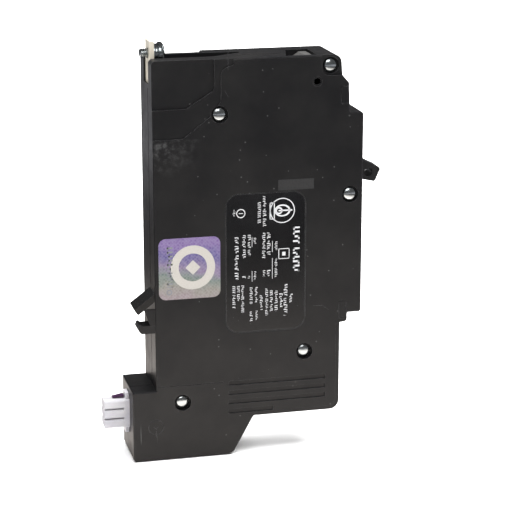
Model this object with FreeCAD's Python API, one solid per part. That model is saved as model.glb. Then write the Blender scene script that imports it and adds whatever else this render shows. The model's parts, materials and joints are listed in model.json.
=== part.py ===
import FreeCAD, Part
import math
import os

# Remotely operated single-pole circuit breaker, millimetres.
# Working frame: X from the back plane to the front, Y across the case from its middle (the
# thin cover at -Y, the deep base at +Y), Z up from the step above the control plug block.
# The kept frame has its origin on the line terminal, see datum.

os.makedirs("parts", exist_ok=True)

V = FreeCAD.Vector
ALONG_X = V(1, 0, 0)
ALONG_Y = V(0, 1, 0)
ALONG_Z = V(0, 0, 1)

# case
half_width = 12.7
floor_t = 2.4
rim_t = 2.2
inner_y = half_width - floor_t
parting_y = -3.3
front_x = 87.8
lower_front_x = 78.7
top_z = 135.8
foot_z = -15.9
block_back_x = -9.9
block_top_z = -1.8
block_foot_z = -32.1
edge_break = 0.45
step_front_z = (26.6, 112.1)
rim_step_x = 24.6
rim_drop = 0.8

# line terminal
tab_back = 0.8
tab_t = 1.8
tab_half_width = 4.9
tab_top_z = 142.6
tab_slot_z = 125.4
screw_z = 137.4
line_thread_r = 2.05
line_neck_r = 1.75
line_screw_tip = -2.6
line_head_r = 4.4
trough_floor_z = 132.4
strap_y = 4.0

# fasteners and pins
fit = 0.03
rivet_r = 1.6
rivet_head_r = 2.85
rivet_head_h = 1.5
rivet_sink_r = 3.55
rivet_boss_r = 5.2
rivets = [(27.5, 113.5, 1.3), (73.8, 131.5, 2.2), (82.4, 77.7, 1.3), (63.3, 11.0, 2.2), (11.1, -7.6, 2.2)]

# handle and contacts, shown off with the contacts open
handle_at = (74.6, 91.4)
handle_swing = 40.0
handle_half_width = 4.5
drum_r = 10.1
crank_r = 8.0
arm_at = (60.0, 82.0)
arm_swing = 22.0
arm_half_width = 1.6
cradle_at = (51.0, 70.0)
armature_at = (70.7, 37.0)
mode_at = (81.0, 60.0)
contact_z = 109.5
bosses = [(handle_at, 4.6, 5.0), (armature_at, 3.0, 6.4), (mode_at, 3.0, 4.6)]
mech_plate_y = (7.2, 8.2)
mode_swing = 30.0

# remote operator
coil_at = (20.0, 68.0)
coil_r = 9.0
plunger_r = 4.0
lever_at = (31.0, 37.0)
remote_arm_at = (34.0, 22.0)
bosses += [(lever_at, 3.4, 6.4), (remote_arm_at, 3.4, 6.4)]

# load terminal
lug_z = -4.0
lug_x = (61.0, 76.0)
lug_half_width = 6.4
wire_x = (62.6, 70.6)
wire_half_width = 4.4
lug_screw_r = 2.5

# control plug
plug_x = (-20.5, -7.0)
plug_half_width = 4.2
plug_z = (-19.8, -7.2)
pitch = 4.2

# rail hook: outer side, inner side of the wide end, far side
hook_y = (-12.2, -10.1, -1.2)

datum = V(-tab_back, 0, -screw_z)


def corner_ends(before, here, after, radius):
    back = (before - here).normalize()
    on = (after - here).normalize()
    half_angle = back.getAngle(on) / 2
    cut = radius / math.tan(half_angle)
    middle = here + (back + on).normalize() * (radius / math.sin(half_angle) - radius)
    return here + back * cut, middle, here + on * cut


def rounded_wire(points):
    # corners (u, v) or (u, v, radius) become lines and tangent arcs in the XZ plane
    corners = [(tuple(p) + (0.0,))[:3] for p in points]
    places = [V(u, 0, v) for u, v, r in corners]
    ends = []
    for i, here in enumerate(places):
        radius = corners[i][2]
        if radius > 0:
            ends.append(corner_ends(places[i - 1], here, places[(i + 1) % len(places)], radius))
        else:
            ends.append((here, None, here))
    edges = []
    for i, (start, middle, end) in enumerate(ends):
        if middle is not None:
            edges.append(Part.Arc(start, middle, end).toShape())
        following = ends[(i + 1) % len(ends)][0]
        if end.distanceToPoint(following) > 1e-6:
            edges.append(Part.LineSegment(end, following).toShape())
    return Part.Wire(edges)


def plate(points, y0, y1):
    face = Part.Face(rounded_wire(points))
    face.translate(V(0, y0, 0))
    return face.extrude(V(0, y1 - y0, 0))


def slab(points, z0, z1):
    # the same corners laid in the XY plane
    solid = plate(points, -z1, -z0)
    solid.rotate(V(0, 0, 0), ALONG_X, -90)
    return solid


def upright(points, x0, x1):
    # the same corners laid in the YZ plane
    solid = plate(points, -x1, -x0)
    solid.rotate(V(0, 0, 0), ALONG_Z, 90)
    return solid


def box(x0, x1, y0, y1, z0, z1):
    return Part.makeBox(x1 - x0, y1 - y0, z1 - z0, V(x0, y0, z0))


def rod_x(y, z, r, x0, x1):
    return Part.makeCylinder(r, x1 - x0, V(x0, y, z), ALONG_X)


def rod_y(x, z, r, y0, y1):
    return Part.makeCylinder(r, y1 - y0, V(x, y0, z), ALONG_Y)


def rod_z(x, y, r, z0, z1):
    return Part.makeCylinder(r, z1 - z0, V(x, y, z0), ALONG_Z)


def turned(shape, at, degrees):
    # positive turns the top towards the back, as the handle goes on
    copy = shape.copy()
    copy.rotate(V(at[0], 0, at[1]), ALONG_Y, -degrees)
    return copy


def mirrored(shape):
    return shape.mirror(V(0, 0, 0), ALONG_Y)


def strip(path, thickness, bend, y0, y1):
    # sheet metal of one thickness bent along a path in the XZ plane
    left = []
    right = []
    for i, (x, z) in enumerate(path):
        before = path[max(i - 1, 0)]
        after = path[min(i + 1, len(path) - 1)]
        way_in = V(x - before[0], z - before[1], 0) if i else V(after[0] - x, after[1] - z, 0)
        way_out = V(after[0] - x, after[1] - z, 0) if i < len(path) - 1 else V(way_in)
        way_in.normalize()
        way_out.normalize()
        side_in = V(-way_in.y, way_in.x, 0)
        side_out = V(-way_out.y, way_out.x, 0)
        mitre = (side_in + side_out) * (thickness / 2 / (1 + side_in.dot(side_out)))
        turn = way_in.cross(way_out).z
        inner = bend if abs(turn) > 1e-6 else 0.0
        outer = bend + thickness if abs(turn) > 1e-6 else 0.0
        left.append((x + mitre.x, z + mitre.y, inner if turn > 0 else outer))
        right.append((x - mitre.x, z - mitre.y, outer if turn > 0 else inner))
    return plate(left + right[::-1], y0, y1)


def coil(r, wire_r, length, turns):
    helix = Part.makeHelix(length / turns, length, r)
    ring = Part.Circle(V(r, 0, 0), ALONG_Y, wire_r).toShape()
    return Part.Wire(helix).makePipeShell([Part.Wire(ring)], True, True)


def dome(r, height, base):
    # spherical cap standing along +Y from a base circle
    ball_r = (r * r + height * height) / (2 * height)
    ball = Part.makeSphere(ball_r, V(base.x, base.y + height - ball_r, base.z))
    return ball.common(rod_y(base.x, base.z, r, base.y, base.y + height + 1))


def save(shape, name):
    solid = shape.removeSplitter()
    solid.translate(datum)
    solid.exportStep("parts/" + name + ".step")


# ---- case ----


def case_outline():
    return [
        (block_back_x, block_foot_z, 1.2),
        (32.4, block_foot_z, 3.0),
        (41.5, foot_z, 0.8),
        (lower_front_x, foot_z, 4.0),
        (lower_front_x, 22.4, 0.4),
        (81.9, 22.8, 1.3),
        (81.9, step_front_z[0], 0.5),
        (front_x, step_front_z[0], 1.0),
        (front_x, step_front_z[1], 1.4),
        (82.0, step_front_z[1], 0.8),
        (81.5, 124.2, 0.8),
        (78.8, 127.3, 0.8),
        (78.2, top_z, 3.4),
        (0.0, top_z, 1.8),
        (0.0, block_top_z, 0.3),
        (block_back_x, block_top_z, 0.6),
    ]


def outer_body(side):
    body = plate(case_outline(), parting_y, side * half_width)
    rim_edges = [e for e in body.Edges if abs(e.BoundBox.YMin - side * half_width) < 1e-3
                 and abs(e.BoundBox.YMax - side * half_width) < 1e-3]
    return body.makeChamfer(edge_break, rim_edges)


def inner_walls(side):
    # everything that stays solid inside one shell, from the parting plane to its floor
    y0, y1 = sorted((parting_y, side * inner_y))
    walls = [rod_y(x, z, rivet_boss_r, y0, y1) for x, z, sink in rivets]
    walls.append(box(-1, 45.6, y0, y1, 130.3, top_z))
    walls.append(box(2, 41.4, y0, y1, 99.0, 100.6))
    walls.append(box(39.8, 41.4, y0, y1, 31.0, 99.2))
    walls.append(box(-9, 34, y0, y1, -3.4, -1.8))
    for at, r, reach in bosses:
        near, far = sorted((side * reach, side * inner_y))
        walls.append(rod_y(at[0], at[1], r, near, far))
    return walls


def cavity(side):
    face = Part.Face(rounded_wire(case_outline())).makeOffset2D(-rim_t)
    face.translate(V(0, parting_y, 0))
    space = face.extrude(V(0, side * inner_y - parting_y, 0))
    for wall in inner_walls(side):
        space = space.cut(wall)
    return space


def trough():
    # screwdriver way over the line screw: closes in an S to the far side
    sweep = [(3.2, -4.9), (27.0, -4.9, 16.0), (43.4, 4.9, 1.6), (3.2, 4.9)]
    return slab(sweep, trough_floor_z, top_z + 1)


def shared_openings():
    y = tab_half_width + 0.15
    cuts = [trough()]
    cuts.append(box(-1, tab_back + tab_t + 0.7, -y, y, tab_slot_z, top_z + 1))
    cuts.append(box(tab_back - 0.1, 5.4, -y, y, 121.0, 130.5))
    cuts.append(slab([(55.4, -10.0), (59.0, 4.8), (68.4, 4.8), (68.4, -10.0)], 132.9, top_z + 1))
    cuts.append(box(84, front_x + 1, -4.9, 4.9, 81.2, 101.6))
    cuts.append(box(84, front_x + 1, -4.05, 4.05, 33.95, 42.05))
    cuts.append(box(84, front_x + 1, -2.3, 2.3, 54.5, 65.5))
    cuts.append(box(wire_x[0] - 0.3, wire_x[1] + 0.6, -4.8, 4.8, foot_z - 1, foot_z + rim_t + 1))
    cuts.append(rod_x(0, lug_z, 4.1, 75.9, lower_front_x + 1))
    cuts.append(box(-11, plug_x[1], -plug_half_width - 0.1, plug_half_width + 0.1,
                    plug_z[0] - 0.1, plug_z[1] + 0.1))
    cuts.append(hook_stem(0.06))
    for x, z, sink in rivets:
        cuts.append(rod_y(x, z, rivet_r + fit, -half_width, half_width))
    pins = [(handle_at, 2.0), (armature_at, 1.0), (lever_at, 1.5), (remote_arm_at, 1.5), (mode_at, 1.2)]
    for at, r in pins:
        cuts.append(rod_y(at[0], at[1], r + fit, -9.6, 9.6))
    return cuts


def rib_grooves(side):
    # four finger grooves with rounded ends across the foot of one broad face
    cuts = []
    for i in range(4):
        z = -0.75 - 4.1 * i
        end = 72.6 if i < 3 else 50.0
        groove = plate([(30.7, z - 1), (end, z - 1), (end, z + 1), (30.7, z + 1)],
                       side * (half_width - 0.55), side * (half_width + 1))
        cuts.append(groove)
    return cuts


def face_cut(points, depth):
    # shallow area on the outer face of the cover
    return plate(points, -half_width - 1, -half_width + depth)


def ring_mark(x, z, r, width, depth):
    disc = rod_y(x, z, r, -half_width - 1, -half_width + depth)
    return disc.cut(rod_y(x, z, r - width, -half_width - 2, -half_width + depth + 1))


def cover_face_cuts():
    cuts = rib_grooves(-1)
    cuts.append(face_cut([(-1, 104.0), (12.4, 104.2, 2.0), (24.4, 113.3, 3.0), (28.1, 119, 2.0),
                          (28.1, 131.6, 3.4), (33.4, 133.4, 0.5), (33.4, 138), (-1, 138)], 0.35))
    cuts.append(face_cut([(-1, 116.0), (13.8, 116.2, 1.2), (25.5, 123.4, 2.6), (25.5, 138), (-1, 138)], 1.1))
    cuts.append(face_cut([(29.6, 21.2, 5.5), (63.6, 21.2, 5.5), (63.6, 80.4, 5.5), (29.6, 80.4, 5.5)], 0.25))
    cuts.append(face_cut([(77.0, 22.2), (77.0, -14.2, 3.0), (58, -14.2), (58, -18), (80, -18), (80, 22.2)], 0.4))
    cuts.append(face_cut([(69.9, 127.4, 3.2), (90, 127.4), (90, 140), (69.9, 140)], 1.0))
    for z0 in (115.6, 24.3):
        frame = face_cut([(78.0, z0, 0.9), (81.4, z0, 0.9), (81.4, z0 + 7.4, 0.9), (78.0, z0 + 7.4, 0.9)], 0.35)
        inside = [(78.3, z0 + 0.3, 0.6), (81.1, z0 + 0.3, 0.6), (81.1, z0 + 7.1, 0.6), (78.3, z0 + 7.1, 0.6)]
        cuts.append(frame.cut(face_cut(inside, 1.0)))
    cuts.append(face_cut([(-1, -0.15), (28.5, -0.15), (28.5, 0.15), (-1, 0.15)], 0.25))
    cuts.append(ring_mark(-0.3, -17.4, 3.3, 0.3, 0.15))
    cuts.append(rod_y(68.1, 125.2, 1.45, -half_width - 1, -inner_y + 0.1))
    cuts.append(rod_y(68.1, 125.2, 2.05, -half_width - 1, -half_width + 0.2))
    for x, z, sink in rivets:
        cuts.append(rod_y(x, z, rivet_sink_r, -half_width - 1, -half_width + sink))
    return cuts


def base_face_cuts():
    cuts = rib_grooves(1)
    panel = [(8, 8, 3.0), (70, 8, 3.0), (70, 98, 3.0), (8, 98, 3.0)]
    cuts.append(plate(panel, half_width - 0.3, half_width + 1))
    for x, z, sink in rivets:
        cuts.append(rod_y(x, z, rivet_sink_r, half_width - 1.4, half_width + 1))
    cuts.append(box(-1, rim_step_x, tab_half_width + 0.5, half_width + 1, top_z - rim_drop, top_z + 1))
    return cuts


def rail_lug():
    # fixed lower jaw of the rail slot, moulded on the cover
    return plate([(0.5, 23.5), (-5.9, 23.5, 1.4), (-7.3, 25.6, 1.0), (-6.4, 27.9, 0.6),
                  (-5.2, 26.8, 0.6), (0.5, 26.8)], -half_width + 0.3, -half_width + 7.8)


def half_shell(side):
    shell = outer_body(side)
    if side < 0:
        shell = shell.fuse(rail_lug())
    shell = shell.cut(cavity(side))
    own_half = box(-30, 100, min(parting_y, side * 20), max(parting_y, side * 20), -40, 150)
    for cut in shared_openings():
        shell = shell.cut(cut.common(own_half))
    for cut in cover_face_cuts() if side < 0 else base_face_cuts():
        shell = shell.cut(cut)
    return shell


def case_rivets():
    bodies = []
    for x, z, sink in rivets:
        seat = -half_width + sink
        shank = rod_y(x, z, rivet_r, seat, half_width - 1.4)
        head = mirrored(dome(rivet_head_r, rivet_head_h, V(x, -seat, z)))
        roll = rod_y(x, z, 2.5, half_width - 1.4, half_width - 0.7)
        roll = roll.cut(rod_y(x, z, 1.0, half_width - 3.0, half_width))
        shank = shank.cut(rod_y(x, z, 1.0, half_width - 4.0, half_width))
        bodies.append(shank.fuse(head).fuse(roll).removeSplitter())
    return Part.makeCompound(bodies)


def hook_stem(gap):
    # slanted bar of the upper rail jaw, with a foot that locks it inside the case
    return plate([(-8.6 - gap, 33.9 + gap, 0.5), (-7.0, 31.6 - gap, 0.5), (4.6, 40.2 - gap),
                  (6.4 + gap, 41.5 - gap), (6.4 + gap, 45.6 + gap), (4.0 - gap, 45.6 + gap),
                  (4.0 - gap, 43.3 + gap)], hook_y[1] - gap, hook_y[2] + gap)


def rail_hook():
    # the bar is wider outside the back wall
    ear = plate([(-8.6, 33.9, 0.5), (-7.0, 31.6, 0.5), (-0.15, 36.7), (-0.15, 40.2)],
                hook_y[0], hook_y[1])
    return hook_stem(0).fuse(ear)


# ---- line end ----


def line_terminal():
    x = tab_back + tab_t / 2
    tab = box(tab_back, tab_back + tab_t, -tab_half_width, tab_half_width, 121.6, tab_top_z)
    run = strip([(x, 128.0), (x, 124.5), (38.0, 124.5), (38.0, 105.5)], tab_t, 1.2, -strap_y, strap_y)
    tab = tab.cut(box(-1, 9, -9, 9, 120, 125.0))
    return tab.fuse(run).cut(rod_x(0, screw_z, line_thread_r + 0.2, -1, 5))


def fixed_contact():
    return rod_x(0, contact_z, 3.2, 38.0 + tab_t / 2, 40.3)


def screw_dome(r, height, x, z):
    cap = mirrored(dome(r, height, V(0, 0, 0)))
    cap.rotate(V(0, 0, 0), ALONG_Z, 90)
    cap.translate(V(x, 0, z))
    return cap


def line_screw():
    seat = tab_back + tab_t + 2.3
    neck = rod_x(0, screw_z, line_neck_r, tab_back, seat)
    thread = rod_x(0, screw_z, line_thread_r, line_screw_tip + 0.6, tab_back)
    tip = Part.makeCone(1.4, line_thread_r, 0.6, V(line_screw_tip, 0, screw_z), ALONG_X)
    rim = rod_x(0, screw_z, line_head_r, seat, seat + 1.2)
    cap = screw_dome(line_head_r, 1.6, seat + 1.2, screw_z)
    screw = neck.fuse([thread, tip, rim, cap])
    for size in [(0.5, 2.6), (2.6, 0.5)]:
        screw = screw.cut(box(seat + 1.0, seat + 4, -size[0], size[0], screw_z - size[1], screw_z + size[1]))
    return screw


def line_flat_washer():
    x = tab_back + tab_t
    disc = rod_x(0, screw_z, 4.2, x, x + 0.9)
    return disc.cut(rod_x(0, screw_z, line_neck_r + 0.08, x - 1, x + 2))


def line_lock_washer():
    x = tab_back + tab_t + 0.9
    ring = rod_x(0, screw_z, 3.7, x, x + 1.4)
    ring = ring.cut(rod_x(0, screw_z, line_neck_r + 0.08, x - 1, x + 3))
    gap = box(x - 1, x + 3, -5, 0, -0.35, 0.35)
    gap.rotate(V(0, 0, 0), ALONG_X, 35)
    gap.translate(V(0, 0, screw_z))
    return ring.cut(gap)


def vent_baffle():
    # fibre screen under the top vent, with slots and one inclined deflector
    screen = box(46.4, 68.4, -9.9, 8.0, 131.4, 132.6)
    for i in range(5):
        x = 49.0 + 3.2 * i
        screen = screen.cut(box(x, x + 1.4, -7, 6, 131, 133))
    deflector = plate([(60.9, 132.6), (64.4, 135.0), (67.6, 135.0), (67.9, 134.2), (65.2, 134.0), (63.0, 132.6)],
                      -6.4, 4.4)
    return screen.fuse(deflector)


def chute_plates():
    plates = []
    for i in range(8):
        x = 44.2 + 2.5 * i
        leaf = upright([(-7.5, 112), (-4.2, 112), (-4.2, 119, 1.0), (0, 123.5, 1.5), (4.2, 119, 1.0),
                        (4.2, 112), (7.5, 112), (7.5, 129.4, 0.8), (-7.5, 129.4, 0.8)], x, x + 1.0)
        plates.append(leaf)
    return Part.makeCompound(plates)


def chute_walls():
    wall = plate([(42.4, 111), (64.6, 111), (64.6, 129.9), (42.4, 129.9)], 7.6, 8.6)
    return Part.makeCompound([wall, mirrored(wall)])


# ---- handle and contact mechanism ----


def handle():
    x, z = handle_at
    w = handle_half_width
    hub = rod_y(x, z, 3.8, -w, w)
    sector = plate([(x, z), (x + 14, z - 21), (x + 26, z), (x + 14, z + 21)], -w, w)
    drum = rod_y(x, z, drum_r, -w, w).cut(rod_y(x, z, drum_r - 1.6, -w - 1, w + 1)).common(sector)
    spoke = plate([(x, z - 2.4), (x + drum_r - 0.8, z - 3.4), (x + drum_r - 0.8, z + 3.4), (x, z + 2.4)], -w, w)
    grip = plate([(x + 9.2, z - 4.9), (x + 23.4, z - 3.1, 0.9), (x + 23.8, z + 3.1, 0.9), (x + 9.2, z + 4.7)], -w, w)
    grip = grip.cut(rod_y(x + 19.4, z - 0.2, 1.75, -w - 1, w + 1))
    crank = plate([(x, z - 2.6), (x, z + 2.6), (x - crank_r, z + 1.8, 1.7), (x - crank_r, z - 1.8, 1.7)], -w, w)
    crank = crank.cut(box(x - crank_r - 5, x - 4.4, -3.0, 3.0, z - 4, z + 4))
    anchor = rod_y(x - crank_r + 1.8, z, 0.8, -w, w)
    body = hub.fuse([drum, spoke, grip, crank, anchor])
    body = body.cut(rod_y(x, z, 2.0 + fit, -w - 1, w + 1))
    return turned(body, handle_at, -handle_swing / 2)


def pin(at, r, half_length):
    return rod_y(at[0], at[1], r, -half_length, half_length)


def mechanism_frame():
    outline = [(47, 60, 1), (67, 60, 1), (69, 69, 2), (65.5, 88, 2), (60, 90.5, 3), (53, 86, 2), (46, 74, 2)]
    side = plate(outline, mech_plate_y[0], mech_plate_y[1])
    bridge = box(48, 60, -mech_plate_y[1], mech_plate_y[1], 60, 61)
    frame = side.fuse([mirrored(side), bridge])
    for at in [arm_at, cradle_at]:
        frame = frame.cut(rod_y(at[0], at[1], 1.5 + fit, -10, 10))
    return frame


def contact_arm():
    w = arm_half_width
    blade = plate([(41.9, 112.9, 0.8), (44.6, 113.4, 1.2), (47.2, 108, 2), (63.2, 84.0, 2.6), (62.6, 78.8, 2.4),
                   (57.4, 78.8, 2.4), (56.6, 83, 1), (43.4, 105.2, 1), (41.9, 105.6, 0.5)], -w, w)
    blade = blade.cut(rod_y(arm_at[0], arm_at[1], 1.5 + fit, -3, 3))
    return turned(blade, arm_at, -arm_swing)


def moving_contact():
    return turned(rod_x(0, contact_z, 2.9, 40.4, 41.9), arm_at, -arm_swing)


def cradle():
    x, z = cradle_at
    lever = plate([(x - 2.6, z - 2.6, 2.2), (x - 2.6, z + 2.8, 2.2), (x + 9, z + 4.2, 2), (x + 18.4, z - 4.6, 0.6),
                   (x + 18.4, z - 7.0, 0.4), (x + 16.4, z - 7.0, 0.6), (x + 7, z - 1.4, 3)], 2.3, 4.0)
    return lever.cut(rod_y(x, z, 1.5 + fit, 0, 6))


def toggle_spring():
    spring = coil(1.6, 0.35, 17.0, 9)
    spring.translate(V(68.4 - 0.3, 0, 74.8))
    return spring


def armature():
    x, z = armature_at
    leaf = box(x - 0.7, x + 0.7, -5.0, 5.0, z + 1.2, z + 28.6)
    barrel = rod_y(x, z, 1.9, -5.0, 5.0)
    return leaf.fuse(barrel).cut(rod_y(x, z, 1.0 + fit, -6, 6))


def armature_spring():
    spring = coil(2.5, 0.2, 0.9, 2)
    spring.rotate(V(0, 0, 0), ALONG_X, -90)
    spring.translate(V(armature_at[0], 5.25, armature_at[1]))
    return spring


def magnet_yoke():
    web = box(78.0, 79.4, -6.2, 6.2, 46, 56)
    leg = box(73.4, 78.4, 4.8, 6.2, 46, 56)
    return web.fuse([leg, mirrored(leg)])


def bimetal():
    return box(75.4, 76.4, -3.4, 3.4, 32.0, 65.0)


def bimetal_bracket():
    foot = strip([(77.1, 43.0), (77.1, 29.0), (48.0, 29.0)], 1.4, 1.2, -3.6, 3.6)
    return foot.cut(rod_x(0, 35.0, 1.5 + fit, 76, 79))


def calibration_screw():
    shank = rod_x(0, 35.0, 1.5, 76.45, 82.0)
    head = rod_x(0, 35.0, 2.4, 80.2, 82.0)
    slot = box(81.2, 83, -0.35, 0.35, 32, 38)
    return shank.fuse(head).cut(slot)


def flexible_braid():
    # braided copper lead from the bimetal's top to the tail of the contact arm
    path = rounded_wire([(74.9, 64.2), (74.4, 71.5, 3.0), (66.8, 76.6, 5.0), (62.0, 77.4), (62.0, 77.2)])
    edges = path.Edges[:5]
    spine = Part.Wire(edges)
    start = Part.Circle(V(74.9, 0, 64.2), V(-0.5, 0, 7.3), 1.2).toShape()
    lead = spine.makePipeShell([Part.Wire(start)], True, True)
    lead.translate(V(0, -4.4, 0))
    return lead


# ---- remote operator ----


def solenoid_frame():
    x, z = coil_at
    shell = box(x - 11.6, x + 11.6, -6, 6, z - 15.4, z + 15.4)
    shell = shell.cut(box(x - 10.2, x + 10.2, -7, 7, z - 14.0, z + 14.0))
    return shell.cut(rod_z(x, 0, plunger_r + 0.9, z - 16, z - 13))


def coil_bobbin():
    x, z = coil_at
    tube = rod_z(x, 0, plunger_r + 0.8, z - 13.9, z + 13.9)
    ends = [rod_z(x, 0, coil_r + 0.6, z - 13.9, z - 12.7), rod_z(x, 0, coil_r + 0.6, z + 12.7, z + 13.9)]
    return tube.fuse(ends).cut(rod_z(x, 0, plunger_r + 0.1, z - 14, z + 14))


def coil_winding():
    x, z = coil_at
    ring = rod_z(x, 0, coil_r, z - 12.65, z + 12.65)
    return ring.cut(rod_z(x, 0, plunger_r + 0.85, z - 13, z + 13))


def plunger():
    x, z = coil_at
    core = rod_z(x, 0, plunger_r, z - 21.0, z + 8.0)
    stem = rod_z(x, 0, 1.6, z - 25.6, z - 20.5)
    collar = rod_z(x, 0, plunger_r + 1.6, z - 22.4, z - 21.0)
    knob = rod_z(x, 0, 2.6, z - 27.2, z - 25.6)
    return core.fuse([stem, collar, knob])


def plunger_spring():
    x, z = coil_at
    spring = coil(4.9, 0.35, 4.4, 4)
    spring.translate(V(x, 0, z - 20.6))
    return spring


def remote_lever():
    x, z = lever_at
    side = plate([(x - 12.6, z + 4.3, 0.8), (x - 12.6, z + 7.0, 0.8), (x - 9, z + 7.0, 1), (x + 2.6, z + 2.6, 2),
                  (x + 3.0, z - 9.6, 1.2), (x - 1.2, z - 9.6, 1.2), (x - 2.8, z - 1.5, 2)], 3.2, 4.8)
    bridge = rod_y(x + 1.0, z - 7.6, 1.3, -4.8, 4.8)
    barrel = rod_y(x, z, 2.6, -4.8, 4.8)
    lever = side.fuse([mirrored(side), bridge, barrel])
    return lever.cut(rod_y(x, z, 1.5 + fit, -6, 6))


def remote_arm():
    x, z = remote_arm_at
    blade = plate([(x + 2.6, z - 2.4, 2), (x + 2.6, z + 2.4, 2), (x - 3, z + 2.2, 2), (x - 20.6, z - 4.4, 1),
                   (x - 23.0, z - 4.4, 0.6), (x - 23.0, z - 6.2, 0.6), (x - 16.4, z - 6.2, 1), (x - 3, z - 2.4, 2)],
                  -1.6, 1.6)
    horn = plate([(x + 0.6, z), (x + 2.2, z), (x + 2.2, z + 9.0, 0.6), (x + 0.6, z + 9.0, 0.6)], -1.6, 1.6)
    return blade.fuse(horn).cut(rod_y(x, z, 1.5 + fit, -3, 3))


def remote_moving_contact():
    x, z = remote_arm_at
    return rod_z(x - 20.0, 0, 2.8, z - 7.4, z - 6.2)


def remote_fixed_contact():
    x, z = remote_arm_at
    return rod_z(x - 20.0, 0, 3.0, z - 8.8, z - 7.45)


def load_strap():
    x, z = remote_arm_at
    pad_z = z - 8.8 - 0.8
    return strip([(x - 25.0, pad_z), (x - 14.0, pad_z), (x - 10.0, 4.0), (58.0, 4.0), (60.1, 0.0), (60.1, -9.0)],
                 1.6, 1.0, -strap_y, strap_y)


def link_strap():
    return strip([(52.0, 26.0), (43.6, 26.0), (43.6, 15.0), (38.4, 15.0)], 1.4, 1.0, -3.6, 3.6)


def status_flag():
    bar = box(38.6, 76.4, 6.0, 7.4, 24.4, 26.4)
    riser = box(74.4, 76.4, 6.0, 7.4, 24.4, 32.6)
    reach = box(74.4, 83.8, 6.0, 7.4, 30.6, 32.6)
    turn = box(82.8, 83.8, -3.8, 7.4, 30.6, 32.6)
    flag = box(82.8, 83.8, -3.8, 3.8, 30.6, 44.0)
    return bar.fuse([riser, reach, turn, flag])


def status_window():
    inside = front_x - rim_t
    pane = box(inside - 0.1, front_x - 0.4, -4.0, 4.0, 34.0, 42.0)
    return pane.fuse(box(inside - 0.8, inside - 0.05, -4.8, 4.8, 33.2, 42.8))


def mode_lever():
    x, z = mode_at
    hub = rod_y(x, z, 3.0, -4.2, 4.2)
    finger = plate([(x, z - 1.4), (x + 8.6, z - 1.0, 0.8), (x + 8.6, z + 1.0, 0.8), (x, z + 1.4)], -2.0, 2.0)
    lever = hub.fuse(finger).cut(rod_y(x, z, 1.2 + fit, -6, 6))
    return turned(lever, mode_at, -mode_swing / 2)


def status_switch():
    body = box(43.0, 54.0, -3.2, 3.2, 34.0, 40.0)
    tabs = [box(45.0 + 3.0 * i, 45.8 + 3.0 * i, -0.4, 0.4, 40.0, 43.0) for i in range(3)]
    return body.fuse(tabs)


# ---- load end and control plug ----


def load_lug():
    lug = box(lug_x[0], lug_x[1], -lug_half_width, lug_half_width, lug_z - 7.0, lug_z + 7.0)
    lug = lug.cut(box(wire_x[0], wire_x[1], -wire_half_width, wire_half_width, lug_z - 9, lug_z + 9))
    return lug.cut(rod_x(0, lug_z, lug_screw_r + fit, 60.5 + 10, 80))


def lug_screw():
    screw = rod_x(0, lug_z, lug_screw_r, 70.2, 77.4)
    return screw.cut(box(76.4, 80, -3, 3, lug_z - 0.45, lug_z + 0.45))


def pressure_plate():
    return box(69.1, 70.2, -4.1, 4.1, lug_z - 5.5, lug_z + 5.5)


def control_plug():
    # white six-way plug: two columns of three round-cornered towers on a flanged body
    x0, x1 = plug_x
    mid_z = (plug_z[0] + plug_z[1]) / 2
    body = box(-12.2, x1, -plug_half_width, plug_half_width, plug_z[0], plug_z[1])
    for row in range(3):
        for column in (-1, 1):
            z = mid_z + (row - 1) * pitch
            y = column * pitch / 2
            tower = upright([(y - 2.05, z - 2.05, 0.9), (y + 2.05, z - 2.05, 0.9), (y + 2.05, z + 2.05, 0.9),
                             (y - 2.05, z + 2.05, 0.9)], x0, -12.0)
            body = body.fuse(tower)
            body = body.cut(rod_x(y, z, 1.2, x0 - 1, -13.0))
    core = box(x0 + 0.8, -12.0, -2.6, 2.6, plug_z[0] + 1.4, plug_z[1] - 1.4)
    for row in range(3):
        for column in (-1, 1):
            core = core.cut(rod_x(column * pitch / 2, mid_z + (row - 1) * pitch, 1.2, x0 - 1, -13.0))
    flange = box(-11.5, block_back_x, -3.0, 3.0, -22.4, -4.6)
    latch = box(-16.6, -12.0, -1.6, 1.6, plug_z[1], plug_z[1] + 1.3)
    return body.fuse([core, flange, latch])


def plug_pins():
    mid_z = (plug_z[0] + plug_z[1]) / 2
    pins = []
    for row in range(3):
        for column in (-1, 1):
            z = mid_z + (row - 1) * pitch
            y = column * pitch / 2
            pins.append(rod_x(y, z, 0.6, -16.5, -13.0))
    return Part.makeCompound(pins)


def circuit_board():
    return box(-5.6, 31.0, 1.6, 3.2, -28.0, -14.0)


def board_parts():
    relay = box(14.0, 26.0, -6.0, 1.6, -26.0, -17.0)
    can = rod_y(6.0, -23.0, 3.2, -6.4, 1.6)
    header = box(-5.0, -1.0, -4.0, 1.6, -20.0, -15.0)
    chips = [box(3.0 + 5.0 * i, 6.0 + 5.0 * i, 0.4, 1.6, -17.6, -15.2) for i in range(2)]
    return Part.makeCompound([relay, can, header] + chips)


def label_sheet(points, y, thickness):
    return plate(points, y - thickness, y)


def rating_label():
    y = -half_width + 0.25
    return label_sheet([(29.9, 21.5, 5.2), (63.3, 21.5, 5.2), (63.3, 80.1, 5.2), (29.9, 80.1, 5.2)], y, 0.15)


def security_label():
    return label_sheet([(1.7, 37.5, 3.0), (27.4, 37.5, 3.0), (27.4, 63.3, 3.0), (1.7, 63.3, 3.0)], -half_width, 0.12)


def date_label():
    return label_sheet([(51.8, 80.9), (66.9, 80.9), (66.9, 85.3), (51.8, 85.3)], -half_width, 0.06)


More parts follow.
